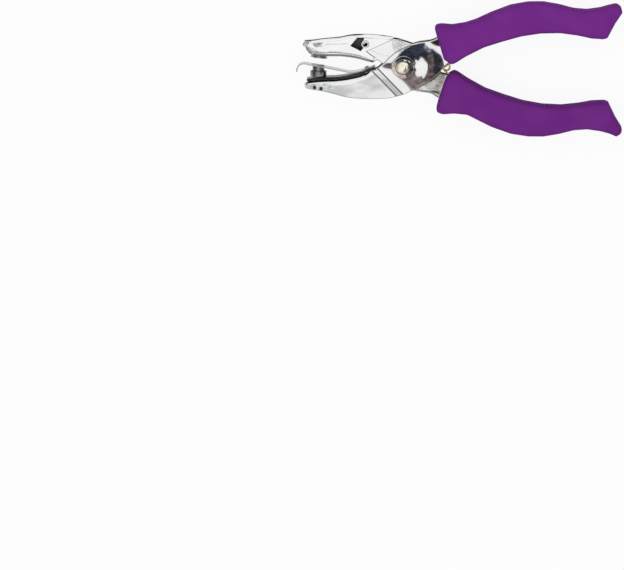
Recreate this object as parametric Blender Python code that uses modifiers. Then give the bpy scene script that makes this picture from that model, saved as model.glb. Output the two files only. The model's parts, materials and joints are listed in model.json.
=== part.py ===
# Circle hand punch: two crossing pressed-steel levers on one rivet, with soft grips
#
# The tool lies on its side. X runs along it, jaws to -X and handles to +X, Y goes
# from the lower jaw to the upper jaw, and Z is its thickness. The origin is on the
# pivot's axis, on the flat end of the pivot rivet, which the tool rests on.
import math

import bmesh
import bpy
from mathutils import Vector

OBJECT_NAME = "circle_hand_punch"

# Reach and depth of the levers, in metres
JAW_REACH = 0.0505
JAW_DEPTH = 0.0165
HUB_REACH = 0.0200
HANDLE_REACH = 0.1090
HANDLE_SPREAD = 0.0340

# Sheet steel and fits
SHEET = 0.0010
COVER_SHEET = 0.0006
CLEARANCE = 0.0003
BEND_RADIUS = 0.0014
JAW_HALF_WIDTH = 0.0048
OVERRUN = 0.0010

# Offset bend that lifts the outer lever's cheeks over the inner lever
CREASE_ANGLE = math.radians(45)
FIRST_CREASE = 0.0130
SECOND_CREASE = 0.0093

# Pivot
SHANK_RADIUS = 0.0020
HEAD_RADIUS = 0.0039
HEAD_HEIGHT = 0.0013
WASHER_RADIUS = 0.0055
WASHER_THICKNESS = 0.0005
SLEEVE_WALL = 0.0007

# Punch, die and the plate that carries the punch
PUNCH_RADIUS = 0.0030
PUNCH_HOLLOW = 0.0006
PUNCH_BITE = 0.0006
TAIL_RADIUS = 0.0020
TAIL_SHARE = 0.255
COLLAR_RADIUS = 0.0041
COLLAR_HEIGHT = 0.0030
DIE_RADIUS = 0.0042
DIE_THICKNESS = 0.0008
PLATE_THICKNESS = 0.0012
BLOCK_PIN_RADIUS = 0.0004

# Stripper leaf
LEAF_THICKNESS = 0.0005
LEAF_HALF_WIDTH = 0.0044
CLAMP_HALF_WIDTH = 0.0030
CLAMP_RIVET_RADIUS = 0.0005

# Eyelets that hold the chip cover
EYELET_RADIUS = 0.0010
EYELET_WALL = 0.0005
EYELET_FLANGE = 0.0006

# Return spring
WIRE_RADIUS = 0.0005
SPRING_PITCH = 0.0015
SPRING_TURNS = 3
CURL_POINTS = 9

# Soft grips
GRIP_HALF_THICKNESS = 0.0085
GRIP_ROUND = 0.0028
GRIP_SLOT_HALF_WIDTH = 0.0034

ROUND_SIDES = 32
SMALL_SIDES = 16
BEND_STEPS = 3

# The lower jaw in shares of JAW_REACH and JAW_DEPTH, on the outer lever: its nose and
# web, then the open edge of its cheeks
LOWER_NOSE_SHARES = ((-0.972, -0.700), (-0.978, -0.565))
LOWER_WEB_SHARES = ((-0.950, -0.508), (-0.86, -0.475), (-0.76, -0.450), (-0.67, -0.435), (-0.58, -0.400),
                    (-0.50, -0.350), (-0.42, -0.285), (-0.335, -0.180))
LOWER_BACK_SHARES = ((0.02, -0.825), (-0.07, -0.920), (-0.13, -0.965), (-0.23, -0.990),
                     (-0.33, -1.000), (-0.43, -0.995), (-0.53, -0.975), (-0.62, -0.920),
                     (-0.72, -0.840), (-0.82, -0.780), (-0.90, -0.745))
# The rim of the pivot plate in shares of HUB_REACH and JAW_DEPTH
PLATE_TOP_SHARES = ((-0.64, -0.050), (-0.54, 0.060), (-0.46, 0.145), (-0.34, 0.300), (-0.22, 0.425),
                    (-0.09, 0.520), (0.15, 0.660), (0.40, 0.750), (0.65, 0.795), (0.80, 0.860))
PLATE_BOTTOM_SHARES = ((0.99, 0.000), (0.92, -0.130), (0.79, -0.275), (0.55, -0.505),
                       (0.30, -0.670), (0.22, -0.715))

# The upper jaw on the inner lever: its open edge, its web and its nose
UPPER_BACK_SHARES = ((-0.975, 0.620), (-0.89, 0.645), (-0.83, 0.675), (-0.73, 0.712), (-0.63, 0.750),
                     (-0.535, 0.815), (-0.436, 0.840), (-0.337, 0.840), (-0.238, 0.825),
                     (-0.150, 0.800), (-0.095, 0.840), (-0.04, 0.810))
UPPER_WEB_SHARES = ((-0.303, 0.105), (-0.38, 0.155), (-0.45, 0.210), (-0.53, 0.250), (-0.62, 0.275),
                    (-0.72, 0.270), (-0.83, 0.275), (-0.89, 0.295), (-0.93, 0.345), (-0.958, 0.410))
UPPER_NOSE_SHARES = ((-0.976, 0.500), (-0.978, 0.570))
# The inner lever between its jaw and its handle, in shares of HUB_REACH and JAW_DEPTH
HUB_TOP_SHARES = ((0.15, 0.715), (0.30, 0.640), (0.46, 0.440), (0.60, 0.160), (0.78, -0.070), (0.98, -0.200))
HUB_BOTTOM_SHARES = ((0.20, -0.700), (-0.05, -0.610), (-0.25, -0.430), (-0.38, -0.230),
                     (-0.45, 0.020), (-0.66, 0.200))
HUB_WEB_SHARES = ((0.84, -0.930), (0.72, -0.835), (0.60, -0.800), (0.42, -0.775))

# A handle's core above the middle line, in shares of HANDLE_REACH and HANDLE_SPREAD
CORE_OUTER_SHARES = ((0.20, 0.520), (0.27, 0.550), (0.37, 0.690), (0.48, 0.815), (0.60, 0.880),
                     (0.71, 0.880), (0.81, 0.840), (0.89, 0.830))
CORE_END_SHARES = ((0.915, 0.780), (0.920, 0.700), (0.905, 0.610))
CORE_INNER_SHARES = ((0.88, 0.570), (0.80, 0.590), (0.71, 0.620), (0.60, 0.600), (0.48, 0.530),
                     (0.37, 0.410), (0.28, 0.230), (0.225, 0.130))

# A grip's outline above the middle line, in the same shares
GRIP_OUTER_SHARES = ((0.147, 0.600), (0.158, 0.655), (0.20, 0.665), (0.26, 0.665), (0.32, 0.710),
                     (0.40, 0.815), (0.49, 0.930), (0.57, 0.985), (0.64, 0.990), (0.71, 0.955),
                     (0.78, 0.900), (0.84, 0.888), (0.90, 0.915), (0.945, 0.955))
GRIP_END_SHARES = ((0.974, 0.966), (0.995, 0.920), (1.000, 0.850), (0.968, 0.690), (0.943, 0.530))
GRIP_INNER_SHARES = ((0.935, 0.470), (0.915, 0.450), (0.86, 0.458), (0.80, 0.495), (0.72, 0.525),
                     (0.63, 0.515), (0.54, 0.465), (0.45, 0.380), (0.37, 0.300), (0.29, 0.170),
                     (0.240, 0.070), (0.222, 0.050), (0.190, 0.120), (0.165, 0.400))

# The chip cover over the upper jaw: its lower edge, its notched rear edge, its back
COVER_LOW_SHARES = ((-0.315, 0.175), (-0.38, 0.260), (-0.45, 0.310), (-0.53, 0.355), (-0.62, 0.385),
                    (-0.74, 0.395), (-0.83, 0.405), (-0.87, 0.465), (-0.92, 0.530), (-0.975, 0.565))
COVER_NOSE_SHARES = ((-1.000, 0.600), (-1.000, 0.650))
COVER_BACK_SHARES = ((-0.985, 0.705), (-0.89, 0.727), (-0.83, 0.758), (-0.73, 0.794), (-0.63, 0.830),
                     (-0.535, 0.897), (-0.436, 0.921), (-0.337, 0.921), (-0.238, 0.903), (-0.135, 0.868))
COVER_NOTCH_SHARES = ((-0.108, 0.860), (-0.125, 0.790), (-0.19, 0.705), (-0.28, 0.570), (-0.365, 0.455),
                      (-0.325, 0.360), (-0.275, 0.260))
WINDOW_SHARES = ((-0.521, 0.621), (-0.475, 0.794), (-0.455, 0.860), (-0.394, 0.860), (-0.408, 0.697),
                 (-0.400, 0.564), (-0.424, 0.474))
EYELET_SHARES = (-0.380, 0.675)

# Places along the jaws, in shares of JAW_REACH and JAW_DEPTH
PUNCH_SHARES = (-0.842, -0.008)
BLOCK_SHARES = ((-0.918, -0.580), (-0.770, -0.535), (-0.770, -0.800), (-0.918, -0.732))
BLOCK_PIN_SHARES = ((-0.875, -0.675), (-0.812, -0.705))
PLATE_END_SHARES = (-0.275, -0.085)
LEAF_SHARES = ((-0.400, -0.121), (-0.430, -0.145), (-0.475, -0.176), (-0.525, -0.191), (-0.575, -0.167),
               (-0.628, -0.133), (-0.707, -0.091), (-0.827, -0.024), (-0.897, 0.004), (-0.950, 0.036),
               (-0.985, 0.052), (-1.016, 0.030), (-1.036, -0.005), (-1.057, -0.097), (-1.061, -0.218))
CLAMP_START_SHARE = -0.388
CLAMP_STOP_SHARE = -0.336
GRIP_SLOT_SHARES = ((0.12, -0.10), (0.262, -0.10), (0.305, 0.30), (0.12, 0.30))

# Where the spring's legs cross and where they go, in shares of HUB_REACH and JAW_DEPTH
SPRING_CROSS_SHARES = (1.02, -0.030)
SPRING_UPPER_LEG_SHARES = ((1.11, 0.055), (1.17, 0.210), (1.36, 0.760))
SPRING_LOWER_LEG_SHARES = ((1.17, -0.270), (1.36, -0.680))

# Widths that follow from the sizes above
PLATE_INNER = JAW_HALF_WIDTH + CLEARANCE
PLATE_OUTER = PLATE_INNER + SHEET
JAW_INNER = JAW_HALF_WIDTH - SHEET
WASHER_FACE = PLATE_OUTER + CLEARANCE
HEAD_FACE = WASHER_FACE + WASHER_THICKNESS + CLEARANCE
MID_HEIGHT = GRIP_HALF_THICKNESS
SLEEVE_BORE = SHANK_RADIUS + CLEARANCE
SLEEVE_RADIUS = SLEEVE_BORE + SLEEVE_WALL
COIL_RADIUS = SLEEVE_RADIUS + CLEARANCE + WIRE_RADIUS
COVER_INNER = JAW_HALF_WIDTH + CLEARANCE
COVER_OUTER = COVER_INNER + COVER_SHEET


# Remove what the file holds and make the two collections
def clear_scene():
    for thing in list(bpy.data.objects):
        bpy.data.objects.remove(thing, do_unlink=True)


def new_collection(name):
    collection = bpy.data.collections.new(name)
    bpy.context.scene.collection.children.link(collection)
    return collection


# Materials
def material(name, colour, roughness, metallic):
    made = bpy.data.materials.new(name)
    made.use_nodes = True
    shader = made.node_tree.nodes["Principled BSDF"]
    shader.inputs["Base Color"].default_value = (*colour, 1.0)
    shader.inputs["Roughness"].default_value = roughness
    shader.inputs["Metallic"].default_value = metallic
    made.diffuse_color = (*colour, 1.0)
    return made


# Outlines: shares become lengths, corners become curves
def scaled(shares, reach, rise):
    return [Vector((along * reach, up * rise)) for along, up in shares]


def jaw_points(shares):
    return scaled(shares, JAW_REACH, JAW_DEPTH)


def hub_points(shares):
    return scaled(shares, HUB_REACH, JAW_DEPTH)


def handle_points(shares):
    return scaled(shares, HANDLE_REACH, HANDLE_SPREAD)


def below(points):
    return [Vector((point.x, -point.y)) for point in reversed(points)]


def smoothed(points, steps=2):
    """A Catmull-Rom curve through the points, open at both ends."""
    ends = [points[0] * 2 - points[1]] + list(points) + [points[-1] * 2 - points[-2]]
    curve = []
    for before, start, stop, after in zip(ends, ends[1:], ends[2:], ends[3:]):
        for step in range(steps):
            t = step / steps
            curve.append(0.5 * (2 * start + (stop - before) * t
                                + (2 * before - 5 * start + 4 * stop - after) * t ** 2
                                + (3 * start - before - 3 * stop + after) * t ** 3))
    return curve + [points[-1].copy()]


def inset(points, distance):
    """The chain moved sideways, to the right of its direction of travel."""
    moved = []
    for place, point in enumerate(points):
        back = (point - points[place - 1]).normalized() if place else None
        ahead = (points[place + 1] - point).normalized() if place + 1 < len(points) else None
        back = back or ahead
        ahead = ahead or back
        tangent = (back + ahead).normalized()
        normal = Vector((tangent.y, -tangent.x))
        moved.append(point + normal * (distance / max(normal.dot(Vector((back.y, -back.x))), 0.5)))
    return moved


def turned(point, angle):
    return Vector((point.x * math.cos(angle) - point.y * math.sin(angle),
                   point.x * math.sin(angle) + point.y * math.cos(angle)))


# Solids
def link(name, mesh, collection, skin=None):
    made = bpy.data.objects.new(name, mesh)
    collection.objects.link(made)
    if skin:
        mesh.materials.clear()
        mesh.materials.append(skin)
    return made


def flat_solid(outline, half_width):
    """A bmesh of a flat outline, as thick as twice the half width."""
    curve = bpy.data.curves.new("outline", "CURVE")
    curve.dimensions = "2D"
    curve.fill_mode = "BOTH"
    curve.extrude = half_width
    spline = curve.splines.new("POLY")
    spline.points.add(len(outline) - 1)
    for knot, point in zip(spline.points, outline):
        knot.co = (point.x, point.y, 0, 1)
    spline.use_cyclic_u = True
    guide = bpy.data.objects.new("outline", curve)
    bpy.context.scene.collection.objects.link(guide)
    evaluated = guide.evaluated_get(bpy.context.evaluated_depsgraph_get())
    mesh = bpy.data.meshes.new_from_object(evaluated)
    bpy.data.objects.remove(guide)
    shape = bmesh.new()
    shape.from_mesh(mesh)
    bpy.data.meshes.remove(mesh)
    bmesh.ops.remove_doubles(shape, verts=shape.verts, dist=0.00001)
    flat = [edge for edge in shape.edges if len(edge.link_faces) == 2 and edge.calc_face_angle() < 0.001]
    bmesh.ops.dissolve_edges(shape, edges=flat, use_verts=False)
    bmesh.ops.recalc_face_normals(shape, faces=shape.faces)
    return shape


def rim_edges(shape, chain):
    """The long edges of both faces that run along a chain of the outline."""
    near = [point.to_3d() for point in chain]

    def on_chain(vert):
        return any((Vector((vert.co.x, vert.co.y, 0)) - point).length < 0.00002 for point in near)

    return [edge for edge in shape.edges
            if edge.verts[0].co.z * edge.verts[1].co.z > 0
            and on_chain(edge.verts[0]) and on_chain(edge.verts[1])]


def rounded(shape, edges, radius, steps=BEND_STEPS):
    bmesh.ops.bevel(shape, geom=edges, offset=radius, offset_type="OFFSET", segments=steps,
                    profile=0.5, affect="EDGES", material=-1)


def widened(shape, jaw_width, plate_width):
    """Ramps the faces outward between the two creases of the offset bend."""
    across = Vector((math.cos(CREASE_ANGLE), math.sin(CREASE_ANGLE), 0))
    for crease in (FIRST_CREASE, SECOND_CREASE):
        bmesh.ops.bisect_plane(shape, geom=[*shape.verts, *shape.edges, *shape.faces],
                               plane_co=across * -crease, plane_no=across)
    for vert in shape.verts:
        along = vert.co.dot(across)
        share = min(max((along + FIRST_CREASE) / (FIRST_CREASE - SECOND_CREASE), 0), 1)
        width = jaw_width + (plate_width - jaw_width) * share
        vert.co.z = math.copysign(width, vert.co.z)


def finished(shape, name, collection, skin=None):
    bmesh.ops.recalc_face_normals(shape, faces=shape.faces)
    mesh = bpy.data.meshes.new(name)
    shape.to_mesh(mesh)
    shape.free()
    made = link(name, mesh, collection, skin)
    made.location.z = MID_HEIGHT
    return made


def shade_round(made, angle=math.radians(35)):
    made.data.shade_smooth()
    made.data.set_sharp_from_angle(angle=angle)


def cylinder(name, radius, start, stop, collection, sides=ROUND_SIDES):
    """A round cutter between two points."""
    axis = stop - start
    shape = bmesh.new()
    bmesh.ops.create_cone(shape, cap_ends=True, segments=sides, radius1=radius, radius2=radius,
                          depth=axis.length)
    made = finished(shape, name, collection)
    made.rotation_mode = "QUATERNION"
    made.rotation_quaternion = Vector((0, 0, 1)).rotation_difference(axis)
    made.location = (start + stop) / 2 + Vector((0, 0, MID_HEIGHT))
    return made


def lathe(name, profile, skin, parts, sides=ROUND_SIDES):
    """A turned piece: a profile of radius and height, closed, spun about Z."""
    shape = bmesh.new()
    ring = [shape.verts.new((radius, 0, height)) for radius, height in profile]
    for first, second in zip(ring, ring[1:]):
        shape.edges.new((first, second))
    if profile[0][0] > 0:
        shape.edges.new((ring[-1], ring[0]))
    mesh = bpy.data.meshes.new(name)
    shape.to_mesh(mesh)
    shape.free()
    made = link(name, mesh, parts, skin)
    turn = made.modifiers.new("turn", "SCREW")
    turn.steps = sides
    turn.render_steps = sides
    turn.use_merge_vertices = True
    turn.merge_threshold = 0.00001
    turn.use_smooth_shade = True
    made.location.z = MID_HEIGHT
    return made


def cut(made, cutter):
    cutter.hide_render = True
    cutter.display_type = "WIRE"
    taken = made.modifiers.new("cut " + cutter.name, "BOOLEAN")
    taken.operation = "DIFFERENCE"
    taken.solver = "EXACT"
    taken.object = cutter
    return made


def ring_profile(inner, outer, bottom, top):
    return ((inner, top), (outer, top), (outer, bottom), (inner, bottom))


# The outer lever: lower jaw, pivot plates and upper handle
def outer_lever_chains():
    nose = jaw_points(LOWER_NOSE_SHARES)
    web = nose + smoothed(jaw_points(LOWER_WEB_SHARES))
    plate_top = smoothed(hub_points(PLATE_TOP_SHARES))
    handle_web = smoothed(handle_points(CORE_OUTER_SHARES) + handle_points(CORE_END_SHARES))
    open_edge = (smoothed(handle_points(CORE_INNER_SHARES)) + smoothed(hub_points(PLATE_BOTTOM_SHARES))
                 + smoothed(jaw_points(LOWER_BACK_SHARES)))
    return ((web, True), (plate_top, False), (handle_web, True), (open_edge, False))


# The inner lever: upper jaw, hub and lower handle
def inner_lever_chains():
    top = (smoothed(jaw_points(UPPER_BACK_SHARES)) + smoothed(hub_points(HUB_TOP_SHARES))
           + smoothed(below(handle_points(CORE_INNER_SHARES))))
    handle_web = smoothed(below(handle_points(CORE_OUTER_SHARES) + handle_points(CORE_END_SHARES))
                          + hub_points(HUB_WEB_SHARES))
    hub = smoothed(hub_points(HUB_BOTTOM_SHARES))
    web = smoothed(jaw_points(UPPER_WEB_SHARES) + jaw_points(UPPER_NOSE_SHARES))
    return ((top, False), (handle_web, True), (hub, False), (web, True))


def whole(chains):
    return [point for chain, folded in chains for point in chain]


def hollow(chains, sheet):
    """The outline of the space between the cheeks: inside each web, past each open edge."""
    return [point for chain, folded in chains
            for point in inset(chain, sheet if folded else -OVERRUN)]


def channel(name, chains, widths, hollow_widths, sheet, radius, skin, parts, cutters):
    body = flat_solid(whole(chains), widths[0])
    space = flat_solid(hollow(chains, sheet), hollow_widths[0])
    for shape, size, fold, margin in ((body, widths, radius, 0), (space, hollow_widths, radius - sheet, sheet)):
        if size[0] != size[1]:
            widened(shape, *size)
        for chain, folded in chains:
            if folded:
                rounded(shape, rim_edges(shape, inset(chain, margin) if margin else chain), fold)
    made = finished(body, name, parts, skin)
    cut(made, finished(space, name + "_space", cutters))
    return made


def point_3d(point, height=0.0):
    return Vector((point.x, point.y, height))


def cross_hole(made, place, radius, cutters, sides=SMALL_SIDES):
    reach = PLATE_OUTER + OVERRUN
    name = made.name + "_hole_" + str(len(cutters.objects))
    cut(made, cylinder(name, radius, point_3d(place, -reach), point_3d(place, reach), cutters, sides))


def web_hole(made, place, axis, radius, reach, cutters):
    name = made.name + "_hole_" + str(len(cutters.objects))
    start = point_3d(place - axis * reach)
    stop = point_3d(place + axis * reach)
    cut(made, cylinder(name, radius, start, stop, cutters))


def along_y(made, place):
    """Stands a turned piece up across the jaws at a place."""
    made.rotation_euler.x = -math.pi / 2
    made.location = point_3d(place, MID_HEIGHT)
    return made


def ribbon(chain, thickness):
    """The outline of a strip that lies along the left side of a chain."""
    return chain + list(reversed(inset(chain, -thickness)))


def make_outer_lever(parts, cutters, steel):
    lever = channel("outer_lever", outer_lever_chains(), (JAW_HALF_WIDTH, PLATE_OUTER),
                    (JAW_INNER, PLATE_INNER), SHEET, BEND_RADIUS, steel, parts, cutters)
    cross_hole(lever, Vector((0, 0)), SLEEVE_BORE, cutters, ROUND_SIDES)
    for place in jaw_points(BLOCK_PIN_SHARES):
        cross_hole(lever, place, BLOCK_PIN_RADIUS + CLEARANCE, cutters)
    return lever


def make_inner_lever(parts, cutters, steel):
    widths = (JAW_HALF_WIDTH, JAW_HALF_WIDTH)
    lever = channel("inner_lever", inner_lever_chains(), widths, (JAW_INNER, JAW_INNER),
                    SHEET, BEND_RADIUS, steel, parts, cutters)
    cross_hole(lever, Vector((0, 0)), SLEEVE_BORE, cutters, ROUND_SIDES)
    cross_hole(lever, eyelet_place(), EYELET_RADIUS + EYELET_WALL + CLEARANCE, cutters)
    return lever


def window_cutter(name, margin, cutters):
    """Opens the front cheek only, so the chips show through the window."""
    shape = flat_solid(inset_loop(jaw_points(WINDOW_SHARES), -margin), JAW_HALF_WIDTH)
    made = finished(shape, name, cutters)
    made.location.z += JAW_HALF_WIDTH
    return made


def inset_loop(points, distance):
    """A closed chain moved sideways, to the right of its direction of travel."""
    wrapped = [points[-1], *points, points[0]]
    return inset(wrapped, distance)[1:-1]


def eyelet_place():
    return jaw_points((EYELET_SHARES,))[0]


def make_chip_cover(parts, cutters, steel):
    back = jaw_points(COVER_NOSE_SHARES) + smoothed(jaw_points(COVER_BACK_SHARES))
    open_edge = jaw_points(COVER_NOTCH_SHARES) + smoothed(jaw_points(COVER_LOW_SHARES))
    cover = channel("chip_cover", ((back, True), (open_edge, False)),
                    (COVER_OUTER, COVER_OUTER), (COVER_INNER, COVER_INNER),
                    COVER_SHEET, COVER_SHEET + CLEARANCE, steel, parts, cutters)
    cross_hole(cover, eyelet_place(), EYELET_RADIUS + EYELET_WALL + CLEARANCE, cutters)
    return cover


def make_eyelet(name, side, parts, steel):
    top = COVER_OUTER + CLEARANCE + EYELET_FLANGE
    bottom = JAW_INNER - CLEARANCE - EYELET_FLANGE
    tube = EYELET_RADIUS + EYELET_WALL
    flange = tube + EYELET_FLANGE
    profile = ((EYELET_RADIUS, top), (flange, top), (flange, top - EYELET_FLANGE), (tube, top - EYELET_FLANGE),
               (tube, bottom + EYELET_FLANGE), (flange, bottom + EYELET_FLANGE), (flange, bottom),
               (EYELET_RADIUS, bottom))
    eyelet = lathe(name, profile, steel, parts)
    if side < 0:
        eyelet.rotation_euler.x = math.pi
    eyelet.location = point_3d(eyelet_place(), MID_HEIGHT)
    return eyelet


# The pivot: one rivet through all four cheeks, with a washer under each end
def make_pivot(parts, steel):
    dome = [(HEAD_RADIUS * math.sin(math.radians(turn)), HEAD_FACE + HEAD_HEIGHT * math.cos(math.radians(turn)))
            for turn in (0, 15, 30, 45, 60, 75, 90)]
    profile = (*dome, (SHANK_RADIUS, HEAD_FACE), (SHANK_RADIUS, -HEAD_FACE), (HEAD_RADIUS, -HEAD_FACE),
               (HEAD_RADIUS, -MID_HEIGHT), (0, -MID_HEIGHT))
    lathe("pivot_rivet", profile, steel, parts)
    for name, side in (("front_washer", 1), ("rear_washer", -1)):
        low = WASHER_FACE if side > 0 else -WASHER_FACE - WASHER_THICKNESS
        lathe(name, ring_profile(SLEEVE_BORE, WASHER_RADIUS, low, low + WASHER_THICKNESS), steel, parts)
    reach = JAW_INNER - CLEARANCE
    lathe("pivot_sleeve", ring_profile(SLEEVE_BORE, SLEEVE_RADIUS, -reach, reach), steel, parts)


# The punch, on its plate, with its collar and the block that holds its tail
def plate_line():
    web = smoothed(jaw_points(LOWER_WEB_SHARES))
    return web + jaw_points((PLATE_END_SHARES,))


def height_at(chain, along):
    for start, stop in zip(chain, chain[1:]):
        if min(start.x, stop.x) <= along <= max(start.x, stop.x):
            return start.y + (stop.y - start.y) * (along - start.x) / (stop.x - start.x)
    return chain[-1].y


def make_punch(parts, cutters, steel, dark, lever):
    tip = jaw_points((PUNCH_SHARES,))[0]
    seat = inset(plate_line(), -CLEARANCE)
    top = height_at(inset(seat, -PLATE_THICKNESS), tip.x)
    plate = finished(flat_solid(ribbon(seat, PLATE_THICKNESS), JAW_HALF_WIDTH), "punch_plate", parts, dark)
    shoulder = top + CLEARANCE
    tail = TAIL_SHARE * JAW_DEPTH
    profile = ((0, tip.y - PUNCH_HOLLOW), (PUNCH_RADIUS - PUNCH_HOLLOW, tip.y - PUNCH_HOLLOW),
               (PUNCH_RADIUS, tip.y), (PUNCH_RADIUS, shoulder), (TAIL_RADIUS, shoulder),
               (TAIL_RADIUS, shoulder - tail), (0, shoulder - tail))
    along_y(lathe("punch_pin", profile, steel, parts), Vector((tip.x, 0)))
    collar = ring_profile(PUNCH_RADIUS + CLEARANCE, COLLAR_RADIUS, shoulder, shoulder + COLLAR_HEIGHT)
    along_y(lathe("punch_collar", collar, dark, parts), Vector((tip.x, 0)))
    block = finished(flat_solid(jaw_points(BLOCK_SHARES), JAW_INNER - CLEARANCE), "punch_block", parts, dark)
    for made in (plate, lever, block):
        web_hole(made, Vector((tip.x, shoulder)), Vector((0, 1)), TAIL_RADIUS + CLEARANCE,
                 tail + CLEARANCE, cutters)
    for name, place in zip(("nose_block_pin", "rear_block_pin"), jaw_points(BLOCK_PIN_SHARES)):
        cross_hole(block, place, BLOCK_PIN_RADIUS + CLEARANCE, cutters)
        pin = cylinder(name, BLOCK_PIN_RADIUS, point_3d(place, -JAW_HALF_WIDTH),
                       point_3d(place, JAW_HALF_WIDTH), parts, SMALL_SIDES)
        pin.data.materials.append(steel)
    return plate


def closed_place():
    """The place on the punch that the die's face reaches when the jaws are closed."""
    return jaw_points((PUNCH_SHARES,))[0] - Vector((0, PUNCH_BITE))


def squeeze_angle():
    """The turn that brings a die under the upper web down to its closed place."""
    place = closed_place()
    rise = height_at(smoothed(jaw_points(UPPER_WEB_SHARES)), place.x) - CLEARANCE - DIE_THICKNESS
    return math.asin(rise / place.length) + math.atan2(-place.y, -place.x)


def make_die(parts, cutters, steel, lever):
    """The die ring faces the punch squarely when the jaws are closed."""
    squeeze = squeeze_angle()
    face = turned(closed_place(), -squeeze)
    axis = turned(Vector((0, 1)), -squeeze)
    ring = lathe("die_ring", ring_profile(PUNCH_RADIUS + CLEARANCE, DIE_RADIUS, 0, DIE_THICKNESS), steel, parts)
    ring.rotation_euler = (-math.pi / 2, 0, -squeeze)
    ring.location = point_3d(face, MID_HEIGHT)
    web_hole(lever, face, axis, PUNCH_RADIUS + CLEARANCE, COLLAR_RADIUS, cutters)


# The stripper leaf over the punch, and the strip that clamps its root
def make_leaf(parts, cutters, steel, dark, lever, plate):
    chain = smoothed(jaw_points(LEAF_SHARES))
    leaf = finished(flat_solid(ribbon(chain, LEAF_THICKNESS), LEAF_HALF_WIDTH), "stripper_leaf", parts, steel)
    tip = jaw_points((PUNCH_SHARES,))[0]
    web_hole(leaf, tip, Vector((0, 1)), PUNCH_RADIUS + 2 * CLEARANCE, COLLAR_HEIGHT, cutters)
    line = inset(plate_line(), -PLATE_THICKNESS - 2 * CLEARANCE)
    start, stop = CLAMP_START_SHARE * JAW_REACH, CLAMP_STOP_SHARE * JAW_REACH
    ends = [Vector((along, height_at(line, along))) for along in (start, stop)]
    clamp = finished(flat_solid(ribbon(ends, LEAF_THICKNESS), CLAMP_HALF_WIDTH), "leaf_clamp", parts, dark)
    slope = (ends[1] - ends[0]).normalized()
    normal = Vector((-slope.y, slope.x))
    middle = (ends[0] + ends[1]) / 2
    top = LEAF_THICKNESS + CLEARANCE
    bottom = -PLATE_THICKNESS - SHEET - 3 * CLEARANCE
    profile = ((0, top + LEAF_THICKNESS), (2 * CLAMP_RIVET_RADIUS, top + LEAF_THICKNESS),
               (2 * CLAMP_RIVET_RADIUS, top), (CLAMP_RIVET_RADIUS, top), (CLAMP_RIVET_RADIUS, bottom), (0, bottom))
    for name, side in (("front_clamp_rivet", 1), ("rear_clamp_rivet", -1)):
        height = side * CLAMP_HALF_WIDTH / 2
        rivet = along_y(lathe(name, profile, steel, parts, SMALL_SIDES), middle)
        rivet.rotation_euler.z = math.atan2(slope.y, slope.x)
        rivet.location.z += height
        for made in (clamp, plate, lever):
            hole = cylinder(made.name + "_" + name, CLAMP_RIVET_RADIUS + CLEARANCE,
                            point_3d(middle + normal * bottom * 2, height),
                            point_3d(middle - normal * bottom * 2, height), cutters, SMALL_SIDES)
            cut(made, hole)


# The return spring: a coil on the pivot sleeve and two crossed legs in the handles
def spring_path():
    cross = hub_points((SPRING_CROSS_SHARES,))[0]
    swing = math.acos(COIL_RADIUS / cross.length)
    start = math.atan2(cross.y, cross.x) + swing
    stop = math.atan2(cross.y, cross.x) - swing + 2 * math.pi * (SPRING_TURNS + 1)
    count = round(CURL_POINTS * (stop - start) / (2 * math.pi))
    height = SPRING_PITCH * (stop - start) / (2 * math.pi)
    path = [point_3d(point, height / 2) for point in (*reversed(hub_points(SPRING_LOWER_LEG_SHARES)), cross)]
    for step in range(count + 1):
        turn = start + (stop - start) * step / count
        path.append(Vector((COIL_RADIUS * math.cos(turn), COIL_RADIUS * math.sin(turn),
                            height / 2 - height * step / count)))
    return path + [point_3d(point, -height / 2) for point in (cross, *hub_points(SPRING_UPPER_LEG_SHARES))]


def least_gap(path, radius, apart):
    """The least gap of a tube to itself, between points that are some way apart along it."""
    gaps = [(second - first).length - 2 * radius for place, first in enumerate(path)
            for second in path[place + apart:]]
    return min(gaps)


def make_spring(parts, brass):
    path = spring_path()
    print("return_spring: least gap to itself", round(least_gap(path, WIRE_RADIUS, CURL_POINTS // 2), 5), "m")
    curve = bpy.data.curves.new("return_spring", "CURVE")
    curve.dimensions = "3D"
    curve.bevel_depth = WIRE_RADIUS
    curve.bevel_resolution = 1
    curve.use_fill_caps = True
    spline = curve.splines.new("POLY")
    spline.points.add(len(path) - 1)
    for knot, point in zip(spline.points, path):
        knot.co = (*point, 1)
    spring = link("return_spring", curve, parts)
    curve.materials.append(brass)
    spring.location.z = MID_HEIGHT
    return spring


# The soft grips, each over a handle's core, with a slot at the mouth for the spring's leg
def make_grip(name, flip, core, core_width, parts, cutters, vinyl):
    outline = smoothed(handle_points(GRIP_OUTER_SHARES) + handle_points(GRIP_END_SHARES)
                       + handle_points(GRIP_INNER_SHARES), 1)
    slot = handle_points(GRIP_SLOT_SHARES)
    if flip:
        outline = below(outline)
        slot = below(slot)
    shape = flat_solid(outline, GRIP_HALF_THICKNESS)
    rounded(shape, rim_edges(shape, outline), GRIP_ROUND)
    grip = finished(shape, name, parts, vinyl)
    cut(grip, finished(flat_solid(inset_loop(core, -CLEARANCE), core_width + CLEARANCE), name + "_core", cutters))
    cut(grip, finished(flat_solid(slot, GRIP_SLOT_HALF_WIDTH), name + "_slot", cutters))
    shade_round(grip)
    return grip


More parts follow.
